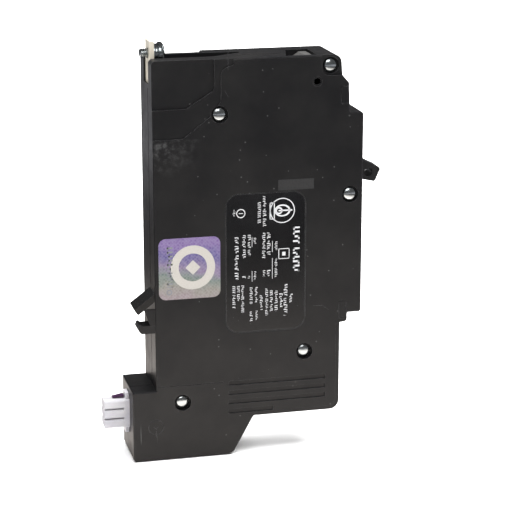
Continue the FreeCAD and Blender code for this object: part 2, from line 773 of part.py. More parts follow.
nodes = {
    "cover": half_shell(-1),
    "base": half_shell(1),
    "case_rivets": case_rivets(),
    "rail_hook": rail_hook(),
    "line_terminal": line_terminal(),
    "fixed_contact": fixed_contact(),
    "line_screw": line_screw(),
    "line_flat_washer": line_flat_washer(),
    "line_lock_washer": line_lock_washer(),
    "vent_baffle": vent_baffle(),
    "arc_chute_plates": chute_plates(),
    "arc_chute_walls": chute_walls(),
    "handle": handle(),
    "handle_pin": pin(handle_at, 2.0, 9.5),
    "mechanism_frame": mechanism_frame(),
    "arm_pin": pin(arm_at, 1.5, 8.8),
    "cradle_pin": pin(cradle_at, 1.5, 8.8),
    "contact_arm": contact_arm(),
    "moving_contact": moving_contact(),
    "cradle": cradle(),
    "toggle_spring": toggle_spring(),
    "armature": armature(),
    "armature_pin": pin(armature_at, 1.0, 9.5),
    "armature_spring": armature_spring(),
    "magnet_yoke": magnet_yoke(),
    "bimetal": bimetal(),
    "bimetal_bracket": bimetal_bracket(),
    "calibration_screw": calibration_screw(),
    "flexible_braid": flexible_braid(),
    "solenoid_frame": solenoid_frame(),
    "coil_bobbin": coil_bobbin(),
    "coil_winding": coil_winding(),
    "plunger": plunger(),
    "plunger_spring": plunger_spring(),
    "remote_lever": remote_lever(),
    "remote_lever_pin": pin(lever_at, 1.5, 9.5),
    "remote_arm": remote_arm(),
    "remote_arm_pin": pin(remote_arm_at, 1.5, 9.5),
    "remote_moving_contact": remote_moving_contact(),
    "remote_fixed_contact": remote_fixed_contact(),
    "load_strap": load_strap(),
    "link_strap": link_strap(),
    "status_flag": status_flag(),
    "status_window": status_window(),
    "mode_lever": mode_lever(),
    "mode_pin": pin(mode_at, 1.2, 9.5),
    "status_switch": status_switch(),
    "load_lug": load_lug(),
    "lug_screw": lug_screw(),
    "pressure_plate": pressure_plate(),
    "control_plug": control_plug(),
    "plug_pins": plug_pins(),
    "circuit_board": circuit_board(),
    "board_parts": board_parts(),
    "rating_label": rating_label(),
    "security_label": security_label(),
    "date_label": date_label(),
}

for name, shape in nodes.items():
    print(name, round(shape.Volume, 2), len(shape.Solids), shape.isValid())
    save(shape, name)
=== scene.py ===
import json
import math
import random

import bmesh
import bpy
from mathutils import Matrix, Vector

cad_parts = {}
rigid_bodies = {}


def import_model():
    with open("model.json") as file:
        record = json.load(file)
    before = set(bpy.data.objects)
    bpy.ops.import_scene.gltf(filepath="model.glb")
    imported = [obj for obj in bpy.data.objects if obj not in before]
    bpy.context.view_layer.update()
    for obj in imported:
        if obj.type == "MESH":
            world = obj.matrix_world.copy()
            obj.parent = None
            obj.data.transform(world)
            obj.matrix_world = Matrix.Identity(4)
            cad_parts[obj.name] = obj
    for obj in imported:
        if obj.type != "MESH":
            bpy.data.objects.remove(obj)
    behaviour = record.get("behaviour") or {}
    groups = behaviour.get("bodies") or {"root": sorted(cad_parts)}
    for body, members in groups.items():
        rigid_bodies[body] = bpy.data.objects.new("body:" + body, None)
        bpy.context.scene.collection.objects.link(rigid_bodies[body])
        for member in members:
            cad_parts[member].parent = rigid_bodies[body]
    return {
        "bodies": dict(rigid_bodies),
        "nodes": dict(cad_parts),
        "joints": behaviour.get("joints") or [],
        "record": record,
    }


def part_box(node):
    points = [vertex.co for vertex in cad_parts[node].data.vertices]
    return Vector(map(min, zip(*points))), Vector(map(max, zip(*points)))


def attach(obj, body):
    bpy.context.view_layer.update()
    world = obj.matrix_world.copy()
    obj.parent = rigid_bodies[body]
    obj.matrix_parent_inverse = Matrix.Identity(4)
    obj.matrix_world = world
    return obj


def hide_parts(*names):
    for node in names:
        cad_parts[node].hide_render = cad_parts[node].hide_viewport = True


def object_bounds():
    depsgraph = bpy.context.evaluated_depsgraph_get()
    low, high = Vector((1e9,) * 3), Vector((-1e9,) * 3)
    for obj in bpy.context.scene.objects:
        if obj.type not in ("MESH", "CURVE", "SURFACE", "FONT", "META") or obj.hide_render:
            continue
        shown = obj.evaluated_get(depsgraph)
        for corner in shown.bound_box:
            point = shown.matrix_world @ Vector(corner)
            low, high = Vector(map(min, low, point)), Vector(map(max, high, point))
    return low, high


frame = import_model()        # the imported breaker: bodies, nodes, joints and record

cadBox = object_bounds()
mm = 0.001
nodes = frame["nodes"]
ahead = Vector((1, 0, 0))      # from the panel to the handle
across = Vector((0, 1, 0))     # from the cover to the base


# small hand tools

def takeUp(piece):
    bpy.ops.object.select_all(action="DESELECT")
    piece.select_set(True)
    bpy.context.view_layer.objects.active = piece


def settle(piece, name=None):
    takeUp(piece)
    bpy.ops.object.transform_apply(location=True, rotation=True, scale=True)
    if name:
        piece.name = name
        piece.data.name = name
    return piece


def block(name, low, high):
    low, high = Vector(low), Vector(high)
    bpy.ops.object.select_all(action="DESELECT")
    bpy.ops.mesh.primitive_cube_add(size=1, location=(low + high) / 2)
    bpy.context.object.scale = high - low
    return settle(bpy.context.object, name)


def rod(name, start, end, radius, sides=48):
    start, end = Vector(start), Vector(end)
    along = end - start
    bpy.ops.object.select_all(action="DESELECT")
    bpy.ops.mesh.primitive_cylinder_add(vertices=sides, radius=radius, depth=along.length,
                                        location=(start + end) / 2,
                                        rotation=along.to_track_quat("Z", "Y").to_euler())
    return settle(bpy.context.object, name)


def startEdit(piece, mode="FACE"):
    takeUp(piece)
    bpy.ops.object.mode_set(mode="EDIT")
    bpy.ops.mesh.select_mode(type=mode)
    bpy.ops.mesh.select_all(action="DESELECT")


def pickFaces(piece, test):
    # selects the faces whose middle and normal pass the test, and gives their common middle
    shape = bmesh.from_edit_mesh(piece.data)
    middle, count = Vector(), 0
    for face in shape.faces:
        chosen = bool(test(face.calc_center_median(), face.normal))
        face.select_set(chosen)
        if chosen:
            middle += face.calc_center_median()
            count += 1
    bmesh.update_edit_mesh(piece.data)
    return middle / max(count, 1)


def pickEdges(piece, test):
    shape = bmesh.from_edit_mesh(piece.data)
    for edge in shape.edges:
        edge.select_set(bool(test(edge.verts[0].co, edge.verts[1].co)))
    bmesh.update_edit_mesh(piece.data)


def endEdit():
    bpy.ops.object.mode_set(mode="OBJECT")


def applyModifier(piece, kind, **settings):
    takeUp(piece)
    modifier = piece.modifiers.new(kind.lower(), kind)
    for key, value in settings.items():
        setattr(modifier, key, value)
    bpy.ops.object.modifier_apply(modifier=modifier.name)


def roundEdges(piece, width, steps=2, angle=35):
    applyModifier(piece, "BEVEL", width=width, segments=steps, limit_method="ANGLE",
                  angle_limit=math.radians(angle), use_clamp_overlap=True, miter_outer="MITER_ARC")


def evenShade(piece, angle=35):
    takeUp(piece)
    bpy.ops.object.shade_smooth_by_angle(angle=math.radians(angle))
    applyModifier(piece, "WEIGHTED_NORMAL", keep_sharp=True, weight=80)


def cutWith(piece, tool):
    applyModifier(piece, "BOOLEAN", operation="DIFFERENCE", solver="EXACT", object=tool)
    bpy.data.objects.remove(tool)


def copyOf(piece, name, move=(0, 0, 0)):
    twin = piece.copy()
    twin.data = piece.data.copy()
    bpy.context.scene.collection.objects.link(twin)
    twin.name = name
    twin.data.name = name
    takeUp(twin)
    bpy.ops.transform.translate(value=move)
    return settle(twin)


def joinAll(pieces, name):
    bpy.ops.object.select_all(action="DESELECT")
    for piece in pieces:
        piece.select_set(True)
    bpy.context.view_layer.objects.active = pieces[0]
    bpy.ops.object.join()
    return settle(pieces[0], name)


def drawEnd(piece, direction, steps, radius):
    # the round end that faces this way is drawn out in (distance, new radius) steps
    startEdit(piece)
    pickFaces(piece, lambda middle, normal: normal.dot(direction) > 0.9)
    wide = radius * mm
    for distance, wanted in steps:
        bpy.ops.mesh.extrude_region_move(TRANSFORM_OT_translate={"value": direction * (distance * mm)})
        shape = bmesh.from_edit_mesh(piece.data)
        points = [v.co for v in shape.verts if v.select]
        middle = sum(points, Vector()) / len(points)
        bpy.ops.transform.resize(value=(wanted * mm / wide,) * 3, center_override=middle)
        wide = wanted * mm
    endEdit()


def unlinkedCopy(node, name):
    # a merged copy of a CAD node, to be finished by hand
    twin = nodes[node].copy()
    twin.data = nodes[node].data.copy()
    bpy.context.scene.collection.objects.link(twin)
    for key in list(twin.keys()):
        del twin[key]
    twin.parent = None
    twin.name = name
    twin.data.name = name
    startEdit(twin, "VERT")
    bpy.ops.mesh.select_all(action="SELECT")
    bpy.ops.mesh.remove_doubles(threshold=0.002 * mm)
    bpy.ops.mesh.dissolve_limited(angle_limit=math.radians(1.0))
    endEdit()
    return twin


def finish(piece, body, material, slot, *stoodFor):
    piece.data.materials.clear()
    piece.data.materials.append(material)
    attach(piece, body)
    if stoodFor:
        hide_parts(*stoodFor)
    return piece


# shader sums: a Wire is one socket, and sums on it add their Math nodes

class Wire:
    def __init__(self, paint, socket):
        self.paint = paint
        self.socket = socket

    def sum(self, operation, first, second=0.0):
        return self.paint.add("ShaderNodeMath", {"operation": operation}, {0: first, 1: second})

    def __add__(self, other):
        return self.sum("ADD", self, other)

    def __radd__(self, other):
        return self.sum("ADD", other, self)

    def __sub__(self, other):
        return self.sum("SUBTRACT", self, other)

    def __rsub__(self, other):
        return self.sum("SUBTRACT", other, self)

    def __mul__(self, other):
        return self.sum("MULTIPLY", self, other)

    def smaller(self, other):
        return self.sum("MINIMUM", self, other)

    def larger(self, other):
        return self.sum("MAXIMUM", self, other)

    def below(self, other):
        return self.sum("LESS_THAN", self, other)

    def above(self, other):
        return self.sum("GREATER_THAN", self, other)


class Paint:
    def __init__(self, name):
        self.material = bpy.data.materials.new(name)
        self.material.use_nodes = True
        self.tree = self.material.node_tree
        self.tree.nodes.clear()
        self.place = self.add("ShaderNodeTexCoord", outlet="Object")

    def add(self, kind, settings=None, values=None, outlet=0):
        node = self.tree.nodes.new(kind)
        for key, value in (settings or {}).items():
            if key == "stops":
                self.setStops(node.color_ramp, value)
            else:
                setattr(node, key, value)
        for key, value in (values or {}).items():
            if isinstance(value, Wire):
                self.tree.links.new(value.socket, node.inputs[key])
            else:
                node.inputs[key].default_value = value
        return Wire(self, node.outputs[outlet]) if node.outputs else None

    def setStops(self, ramp, stops):
        while len(ramp.elements) < len(stops):
            ramp.elements.new(0.5)
        for element, (place, colour) in zip(ramp.elements, stops):
            element.position = place
            element.color = (*colour, 1)

    def noise(self, scale, detail=3, rough=0.55, stretch=None):
        place = self.stretched(stretch) if stretch else self.place
        values = {"Vector": place, "Scale": scale, "Detail": detail, "Roughness": rough}
        return self.add("ShaderNodeTexNoise", {}, values)

    def stretched(self, stretch, turn=(0, 0, 0)):
        values = {"Vector": self.place, "Scale": stretch, "Rotation": turn}
        return self.add("ShaderNodeMapping", {}, values)

    def cells(self, scale):
        values = {"Vector": self.place, "Scale": scale}
        return self.add("ShaderNodeTexVoronoi", {"feature": "F1"}, values, "Distance")

    def band(self, value, low, high, out=(0.0, 1.0)):
        values = {"Value": value, "From Min": low, "From Max": high, "To Min": out[0], "To Max": out[1]}
        return self.add("ShaderNodeMapRange", {"clamp": True}, values)

    def axis(self, letter):
        return self.add("ShaderNodeSeparateXYZ", {}, {"Vector": self.place}, letter)

    def mix(self, share, first, second):
        first = first if isinstance(first, Wire) else (*first, 1)
        second = second if isinstance(second, Wire) else (*second, 1)
        # 0, 6 and 7 are the mix node's share and its two colours, and 2 is its colour outlet
        return self.add("ShaderNodeMix", {"data_type": "RGBA"}, {0: share, 6: first, 7: second}, 2)

    def ramp(self, value, stops):
        return self.add("ShaderNodeValToRGB", {"stops": stops}, {"Fac": value})

    def edgeWear(self, radius):
        # how far the softened normal leans away from the true one
        soft = self.add("ShaderNodeBevel", {"samples": 6}, {"Radius": radius})
        true = self.add("ShaderNodeNewGeometry", outlet="Normal")
        lean = self.add("ShaderNodeVectorMath", {"operation": "DOT_PRODUCT"}, {0: soft, 1: true}, "Value")
        return 1 - lean

    def bump(self, height, distance, strength=1.0):
        return self.add("ShaderNodeBump", {}, {"Height": height, "Distance": distance, "Strength": strength})

    def shade(self, **values):
        names = {key: key.replace("_", " ") for key in values}
        shader = self.add("ShaderNodeBsdfPrincipled", {}, {names[k]: v for k, v in values.items()})
        self.add("ShaderNodeOutputMaterial", {}, {"Surface": shader})
        return self.material


# finishes

mouldedCase = {
    "colour": (0.0044, 0.0044, 0.0052), "pale": (0.0098, 0.0094, 0.0094), "wear": (0.15, 0.15, 0.155),
    "dust": (0.24, 0.24, 0.24), "speckShare": 0.22, "wearShare": 0.7, "wearRadius": 0.22,
    "roughness": 0.40, "grain": 5200, "grainDepth": 0.012, "specular": 0.34,
    "scratch": (1.0, 1.0, 0.05), "scratchLean": 0.6, "scratchShare": 0.16,
    "rubbedHeight": (-49, -34, -33.5), "rubbedDepth": (20, 2), "rubbedShare": 0.20,
}


def makeMoulding(name, look):
    p = Paint(name)
    cloud = p.noise(38, 4, 0.6)
    fine = p.noise(look["grain"], 2, 0.5)
    hazy = p.band(p.noise(90, 5, 0.7), 0.48, 0.72)
    base = p.mix(p.band(cloud, 0.35, 0.7), look["colour"], look["pale"])
    wear = p.band(p.edgeWear(look["wearRadius"] * mm), 0.04, 0.30)
    wear = wear * p.band(p.noise(900, 3), 0.35, 0.6, (0.35, 1.0))
    specks = p.cells(240).below(0.07) * p.noise(60, 2).above(0.47)
    worn = p.mix(wear * look["wearShare"], base, look["wear"])
    dusty = p.mix(specks * look["speckShare"], worn, look["dust"])
    # long faint scratches, and a rubbed patch by the panel edge
    along = p.stretched(look["scratch"], (0, look["scratchLean"], 0))
    hairs = p.add("ShaderNodeTexNoise", {}, {"Vector": along, "Scale": 700, "Detail": 2})
    strokes = p.band(hairs, 0.70, 0.74) * p.noise(26, 1).above(0.56)
    foot, fade, top = look["rubbedHeight"]
    far, near = look["rubbedDepth"]
    rubbed = p.band(p.axis("Z"), foot * mm, fade * mm) * p.axis("Z").below(top * mm)
    rubbed = rubbed * p.band(p.axis("X"), far * mm, near * mm) * p.band(p.noise(420, 5, 0.75), 0.47, 0.66)
    scuffs = (strokes * look["scratchShare"] + rubbed * look["rubbedShare"]).smaller(0.4)
    colour = p.mix(scuffs, dusty, look["dust"])
    rough = look["roughness"] + hazy * 0.10 + (fine - 0.5) * 0.06 - wear * 0.08
    return p.shade(Base_Color=colour, Roughness=rough, Normal=p.bump(fine, look["grainDepth"] * mm, 0.5),
                   Specular_IOR_Level=look["specular"])


metalLook = {"streakScale": 900, "bumpDepth": 0.01, "wearRadius": 0.15, "dull": 0.72, "bright": 1.15}


def makeMetal(name, colour, roughness, streak=(1, 1, 1), tint=None, rim=(1, 1, 1), metallic=1.0,
              look=metalLook):
    # tint is the duller colour of the blotches, rim the colour at a grazing angle
    p = Paint(name)
    brushed = p.noise(look["streakScale"], 3, 0.6, streak)
    blotch = p.noise(140, 4, 0.6)
    wear = p.band(p.edgeWear(look["wearRadius"] * mm), 0.04, 0.3)
    dull = tint or tuple(c * look["dull"] for c in colour)
    base = p.mix(p.band(blotch, 0.35, 0.7), colour, dull)
    base = p.mix(wear * 0.5, base, tuple(min(1, c * look["bright"]) for c in colour))
    rough = roughness + (brushed - 0.5) * 0.22 + (blotch - 0.5) * 0.12
    return p.shade(Base_Color=base, Metallic=metallic, Roughness=rough, Specular_Tint=(*rim, 1),
                   Normal=p.bump(brushed, look["bumpDepth"] * mm, 0.35))


plasticLook = {"grain": 2600, "grainDepth": 0.008, "wearRadius": 0.18, "dull": 0.86, "underGlow": 0.6}


def makePlastic(name, colour, roughness, specular=0.5, wearAndHighlightLift=1.25, soft=0.0, tint=None, look=plasticLook):
    # the edge lift brightens the edges, standing for wear, and on the hook nylon for a painted highlight along
    # the edges; soft is the share of light that goes in under the surface
    p = Paint(name)
    cloud = p.noise(120, 4, 0.6)
    fine = p.noise(look["grain"], 2, 0.5)
    wear = p.band(p.edgeWear(look["wearRadius"] * mm), 0.05, 0.3)
    base = p.mix(p.band(cloud, 0.35, 0.7), colour, tint or tuple(c * look["dull"] for c in colour))
    # edges lifted paler: wear, and a painted highlight where the lift is strong
    base = p.mix(wear * 0.5, base, tuple(min(1, c * wearAndHighlightLift + 0.02) for c in colour))
    values = {"Base_Color": base, "Roughness": roughness + (cloud - 0.5) * 0.16 + (fine - 0.5) * 0.05,
              "Normal": p.bump(fine, look["grainDepth"] * mm, 0.5), "Specular_IOR_Level": specular}
    if soft:
        values.update(Subsurface_Weight=soft, Subsurface_Radius=(0.8, 0.75, 0.7),
                      Subsurface_Scale=look["underGlow"] * mm)
    return p.shade(**values)


def makeFibre(name, colour):
    p = Paint(name)
    strands = p.noise(1500, 5, 0.7, (1, 1, 4))
    base = p.mix(p.band(strands, 0.35, 0.7), colour, tuple(c * 0.6 for c in colour))
    return p.shade(Base_Color=base, Roughness=0.82 + (strands - 0.5) * 0.1,
                   Normal=p.bump(strands, 0.05 * mm, 0.6))


def makeWinding(name):
    # enamelled turns lie round the coil, one wire above the next
    p = Paint(name)
    turns = p.add("ShaderNodeTexWave", {"wave_type": "BANDS", "bands_direction": "Z"},
                  {"Vector": p.place, "Scale": 620, "Distortion": 0.25, "Detail": 1})
    base = p.mix(p.band(turns, 0.15, 0.6), (0.10, 0.022, 0.010), (0.52, 0.17, 0.075))
    return p.shade(Base_Color=base, Metallic=0.75, Roughness=0.3 + (turns - 0.5) * 0.2,
                   Normal=p.bump(turns, 0.15 * mm, 0.9))


def makeBraid(name):
    p = Paint(name)
    lean = p.stretched((1, 1, 1), (0.6, 0.7, 0.2))
    weave = p.add("ShaderNodeTexChecker", {}, {"Vector": lean, "Scale": 2600}, "Fac")
    strands = p.noise(3200, 3)
    base = p.mix(weave * 0.5 + strands * 0.4, (0.30, 0.10, 0.045), (0.82, 0.42, 0.25))
    return p.shade(Base_Color=base, Metallic=1.0, Roughness=0.42 + (strands - 0.5) * 0.2,
                   Normal=p.bump(weave * 0.6 + strands, 0.08 * mm, 0.8))


def makeWindow(name):
    p = Paint(name)
    haze = p.noise(600, 4, 0.7)
    return p.shade(Base_Color=(0.86, 0.9, 0.9, 1), Roughness=p.band(haze, 0.4, 0.8, (0.08, 0.2)),
                   Transmission_Weight=0.9, IOR=1.58, Normal=p.bump(haze, 0.004 * mm, 0.3))


def makeBoard(name):
    p = Paint(name)
    flat = p.stretched((1, 1, 1), (math.pi / 2, 0, 0))
    tracks = p.add("ShaderNodeTexBrick", {"offset": 0.3}, {
        "Vector": flat, "Color1": (0.02, 0.17, 0.07, 1), "Color2": (0.015, 0.12, 0.05, 1),
        "Mortar": (0.05, 0.27, 0.12, 1), "Scale": 260, "Mortar Size": 0.06}, "Color")
    return p.shade(Base_Color=tracks, Roughness=0.32 + (p.noise(800) - 0.5) * 0.15,
                   Normal=p.bump(p.noise(500), 0.01 * mm, 0.4))


filmLook = {
    "colour": (0.004, 0.004, 0.0045), "pale": (0.0065, 0.0065, 0.007), "dust": (0.3, 0.3, 0.3),
    "speckShare": 0.4, "rimShare": 0.25, "rimRadius": 0.3,
}


def makeRatingFilm(name, look):
    # glossy black printed film, faintly orange-peeled
    p = Paint(name)
    peel = p.noise(420, 2, 0.5)
    specks = p.cells(520).below(0.04) * p.noise(90, 2).above(0.6)
    rim = p.band(p.edgeWear(look["rimRadius"] * mm), 0.03, 0.2)
    film = p.mix(p.band(p.noise(60, 4), 0.4, 0.7), look["colour"], look["pale"])
    base = p.mix((specks * look["speckShare"]).larger(rim * look["rimShare"]), film, look["dust"])
    return p.shade(Base_Color=base, Roughness=0.2 + (p.noise(150, 3) - 0.5) * 0.12,
                   Normal=p.bump(peel, 0.01 * mm, 0.35), Specular_IOR_Level=0.4)


foilLook = {
    "stops": [(0.05, (0.185, 0.145, 0.15)), (0.22, (0.165, 0.155, 0.125)), (0.40, (0.08, 0.12, 0.095)),
              (0.56, (0.145, 0.10, 0.185)), (0.78, (0.05, 0.035, 0.17)), (0.97, (0.12, 0.065, 0.22))],
    "glint": (0.50, 0.48, 0.52), "sparkleShare": 0.16, "stippleShare": 0.05,
}


def makeFoil(name, look, low, high):
    # silver foil whose colour drifts from violet at the top to beige at the foot
    p = Paint(name)
    height = p.band(p.axis("Z"), low.z, high.z)
    side = p.band(p.axis("X"), low.x, high.x)
    drift = height + (p.noise(110, 4, 0.6) - 0.5) * 0.55 + side * 0.12
    colour = p.ramp(drift, look["stops"])
    sparkle = p.cells(900)
    stipple = p.add("ShaderNodeTexChecker", {}, {"Vector": p.place, "Scale": 1400}, "Fac")
    share = p.band(sparkle, 0.0, 0.6) * look["sparkleShare"] + stipple * look["stippleShare"]
    colour = p.mix(share, colour, look["glint"])
    return p.shade(Base_Color=colour, Metallic=0.25, Roughness=0.34 + (sparkle - 0.4) * 0.15,
                   Normal=p.bump(p.noise(500, 3), 0.01 * mm, 0.3))


def makeInk(name, colour, roughness=0.5, patchy=0.25):
    p = Paint(name)
    spots = p.band(p.noise(1500, 3, 0.6), 0.4, 0.7)
    return p.shade(Base_Color=p.mix(spots * patchy, colour, tuple(c * 0.6 for c in colour)),
                   Roughness=roughness + (spots - 0.5) * 0.1, Normal=p.bump(p.noise(2000), 0.004 * mm, 0.4))


foilLow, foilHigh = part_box("security_label")
finishes = {
    "case_plastic": makeMoulding("Case moulding", mouldedCase),
    # the hook nylon's strong edge lift is a painted highlight on the hook's edges
    "hook_plastic": makePlastic("Hook nylon", (0.004, 0.0038, 0.004), 0.22, wearAndHighlightLift=16.0),
    "handle_plastic": makePlastic("Handle moulding", (0.008, 0.008, 0.0085), 0.40, 0.4, wearAndHighlightLift=3.0),
    "zinc_steel": makeMetal("Zinc plate", (0.66, 0.69, 0.70), 0.2, tint=(0.50, 0.55, 0.57),
                            rim=(0.15, 0.15, 0.17)),
    "tinned_copper": makeMetal("Tin plate", (0.78, 0.74, 0.65), 0.38, (1, 1, 0.15), tint=(0.70, 0.64, 0.52),
                               rim=(0.35, 0.32, 0.28), metallic=0.45),
    "silver_contact": makeMetal("Contact silver", (0.86, 0.85, 0.82), 0.3),
    "steel": makeMetal("Pressed steel", (0.50, 0.50, 0.51), 0.34, (1, 1, 0.12)),
    "spring_steel": makeMetal("Spring wire", (0.40, 0.40, 0.42), 0.28),
    "fibre": makeFibre("Grey fibre", (0.048, 0.047, 0.046)),
    "copper": makeMetal("Bare copper", (0.86, 0.47, 0.32), 0.3, (1, 1, 0.2), tint=(0.62, 0.27, 0.16)),
    "enamelled_wire": makeWinding("Coil winding"),
    "bimetal": makeMetal("Bimetal strip", (0.55, 0.53, 0.50), 0.32, (1, 1, 0.1)),
    "white_nylon": makePlastic("White nylon", (0.46, 0.45, 0.465), 0.36, soft=0.2, wearAndHighlightLift=1.05,
                               tint=(0.38, 0.37, 0.405)),
    "board_green": makeBoard("Circuit board"),
    "board_parts": makePlastic("Board parts", (0.02, 0.02, 0.022), 0.4),
    "lug_aluminium": makeMetal("Lug aluminium", (0.72, 0.73, 0.74), 0.36, (0.15, 1, 1)),
    "rating_label": makeRatingFilm("Rating film", filmLook),
    "security_label": makeFoil("Security foil", foilLook, foilLow, foilHigh),
    "date_label": makeInk("Date patch", (0.017, 0.017, 0.018), 0.62),
    "clear_window": makeWindow("Clear window"),
    "signal_red": makePlastic("Flag red", (0.55, 0.045, 0.03), 0.35, wearAndHighlightLift=1.3),
    "braid": makeBraid("Copper braid"),
}
paleInk = makeInk("White print", (0.50, 0.50, 0.51), 0.45)
emblemInk = makeInk("Pale emblem print", (0.36, 0.34, 0.31), 0.42, 0.15)
# dark violet painted shade for the latch of the white nylon plug
latchShade = makePlastic("Latch painted shade", (0.030, 0.008, 0.034), 0.3, wearAndHighlightLift=2.0)
greyInk = makeInk("Grey print", (0.16, 0.165, 0.18), 0.45, 0.3)
print("finishes mixed:", len(finishes))

# every CAD piece takes the finish of its slot, and the braid its own
for row in frame["record"]["subparts"]:
    made = nodes[row["node"]]
    key = "braid" if row["node"] == "flexible_braid" else row["material_slot"]
    made.data.materials.clear()
    made.data.materials.append(finishes[key])
print("CAD pieces finished:", len(nodes))


# case shells, hook, levers: the CAD shapes with their mould edges broken

softAngle = 32
softening = {  # CAD node: new piece, edge radius, steps round the edge
    "cover": ("cover_shell", 0.16, 2),
    "base": ("base_shell", 0.16, 2),
    "rail_hook": ("hook_bar", 0.22, 3),
    "handle": ("toggle", 0.28, 3),
    "mode_lever": ("mode_finger", 0.2, 2),
    "line_terminal": ("line_tab", 0.14, 2),
    "load_lug": ("wire_lug", 0.3, 3),
    "vent_baffle": ("vent_screen", 0.1, 2),
    "status_window": ("front_window", 0.12, 2),
    "pressure_plate": ("wire_clamp", 0.2, 2),
}
bodyOf = {n: body for body, group in frame["record"]["behaviour"]["bodies"].items() for n in group}
slotOf = {row["node"]: row["material_slot"] for row in frame["record"]["subparts"]}


def finishAs(piece, node):
    # the piece stands for the CAD node, with its body and its finish
    return finish(piece, bodyOf[node], finishes[slotOf[node]], slotOf[node], node)


def soften(node, name, width, steps):
    piece = unlinkedCopy(node, name)
    roundEdges(piece, width * mm, steps, softAngle)
    evenShade(piece, softAngle)
    return finishAs(piece, node)


for node, (name, width, steps) in softening.items():
    soften(node, name, width, steps)
    print("softened", name)


# rivets: one head and one rolled tail are modelled, then set in the five wells

rivetLook = {
    "places": [(26.7, -11.4, -23.9), (73.0, -10.5, -5.9), (81.6, -11.4, -59.7), (62.5, -10.5, -126.4),
               (10.3, -10.5, -145.0)],
    "radius": 2.85, "rim": 0.27, "shank": 1.6, "tailStart": 11.3, "tailEnd": 11.55, "tailRadius": 2.5,
    "crown": [(0.22, 2.78), (0.30, 2.52), (0.30, 2.05), (0.22, 1.45), (0.12, 0.8), (0.05, 0.3)],
    "roll": [(0.28, 2.32), (0.14, 1.95), (-0.08, 1.6), (-0.34, 1.15), (-1.6, 0.95)],
}


def makeRivets(look):
    head = rod("head", (0, 0, 0), -across * look["rim"] * mm, look["radius"] * mm, 64)
    drawEnd(head, -across, look["crown"], look["radius"])
    low, high = (0, look["tailStart"] * mm, 0), (0, look["tailEnd"] * mm, 0)
    tail = rod("tail", low, high, look["tailRadius"] * mm, 48)
    drawEnd(tail, across, look["roll"], look["tailRadius"])
    pieces = []
    for x, y, z in look["places"]:
        pieces.append(copyOf(head, "head_copy", Vector((x, y, z)) * mm))
        pieces.append(copyOf(tail, "tail_copy", Vector((x, 0, z)) * mm))
        pieces.append(rod("shank", Vector((x, y, z)) * mm, Vector((x, look["tailStart"], z)) * mm,
                          look["shank"] * mm, 32))
    bpy.data.objects.remove(head)
    bpy.data.objects.remove(tail)
    piece = joinAll(pieces, "rivet_set")
    evenShade(piece, 40)
    return finishAs(piece, "case_rivets")


makeRivets(rivetLook)
print("rivets set:", len(rivetLook["places"]))


# threaded screws

lineScrewLook = {
    "crest": 2.05, "root": 1.66, "pitch": 0.79, "turns": 4, "first": -3.0, "core": (-2.9, 0.1),
    "tip": (0.5, 1.25), "neck": 1.75, "seat": 4.1, "rim": 5.3, "head": 4.4,
    "crown": [(0.40, 4.22), (0.45, 3.72), (0.40, 2.8), (0.25, 1.6), (0.10, 0.6)],
    "recess": 5.15, "crossLong": 2.6, "crossWide": 0.5, "edge": 0.12,
}
lugScrewLook = {
    "at": (0, 0, -141.4), "crest": 2.5, "root": 2.12, "pitch": 0.8, "turns": 7, "first": 69.8,
    "core": (69.4, 76.6), "slotFloor": 75.6, "slotHalf": 0.45,
}


def makeThread(look):
    # a three-sided ridge, as wide as the pitch, is swept round the axis
    size = look["pitch"] * 0.577
    bpy.ops.object.select_all(action="DESELECT")
    bpy.ops.mesh.primitive_circle_add(vertices=3, radius=size * mm, rotation=(math.pi / 2, 0, 0),
                                      location=(look["first"] * mm, 0, (look["crest"] - size) * mm))
    ridge = settle(bpy.context.object, "thread")
    applyModifier(ridge, "SCREW", axis="X", screw_offset=look["pitch"] * mm, iterations=look["turns"],
                  steps=40, render_steps=40, use_normal_calculate=True)
    return ridge


def makeLineScrew(look):
    start, end = look["core"]
    core = rod("core", (start * mm, 0, 0), (end * mm, 0, 0), look["root"] * mm, 40)
    drawEnd(core, -ahead, [look["tip"]], look["root"])
    neck = rod("neck", (0, 0, 0), (look["seat"] * mm, 0, 0), look["neck"] * mm, 40)
    head = rod("head", (look["seat"] * mm, 0, 0), (look["rim"] * mm, 0, 0), look["head"] * mm, 72)
    drawEnd(head, ahead, look["crown"], look["head"])
    long, wide = look["crossLong"] * mm, look["crossWide"] * mm
    floor, top = look["recess"] * mm, look["head"] * 2 * mm
    cutWith(head, block("cutter", (floor, -long, -wide), (top, long, wide)))
    cutWith(head, block("cutter", (floor, -wide, -long), (top, wide, long)))
    roundEdges(head, look["edge"] * mm, 2, 40)
    piece = joinAll([head, core, neck, makeThread(look)], "terminal_screw")
    evenShade(piece, 40)
    return finishAs(piece, "line_screw")


def makeLugScrew(look):
    place = Vector(look["at"]) * mm
    start, end = look["core"]
    core = rod("core", (start * mm, 0, 0), (end * mm, 0, 0), look["root"] * mm, 40)
    pieces = [core, makeThread(look)]
    reach, half = look["crest"] * mm * 1.2, look["slotHalf"] * mm
    for part in pieces:
        # the slot is cut clear through the end of the screw
        low, high = (look["slotFloor"] * mm, -reach, -half), (end * 1.1 * mm, reach, half)
        cutWith(part, block("cutter", low, high))
    piece = joinAll(pieces, "lug_setscrew")
    takeUp(piece)
    bpy.ops.transform.translate(value=place)
    settle(piece)
    evenShade(piece, 40)
    return finishAs(piece, "lug_screw")


makeLineScrew(lineScrewLook)
makeLugScrew(lugScrewLook)
print("screws threaded")


# washers under the terminal screw: one flat, one split

washerLook = {  # flat and split: start and end along the screw, and radius
    "flat": (1.8, 2.7, 4.2), "split": (2.72, 4.08, 3.7), "bore": 1.83, "gap": 0.4, "lean": 35, "edge": 0.14,
}


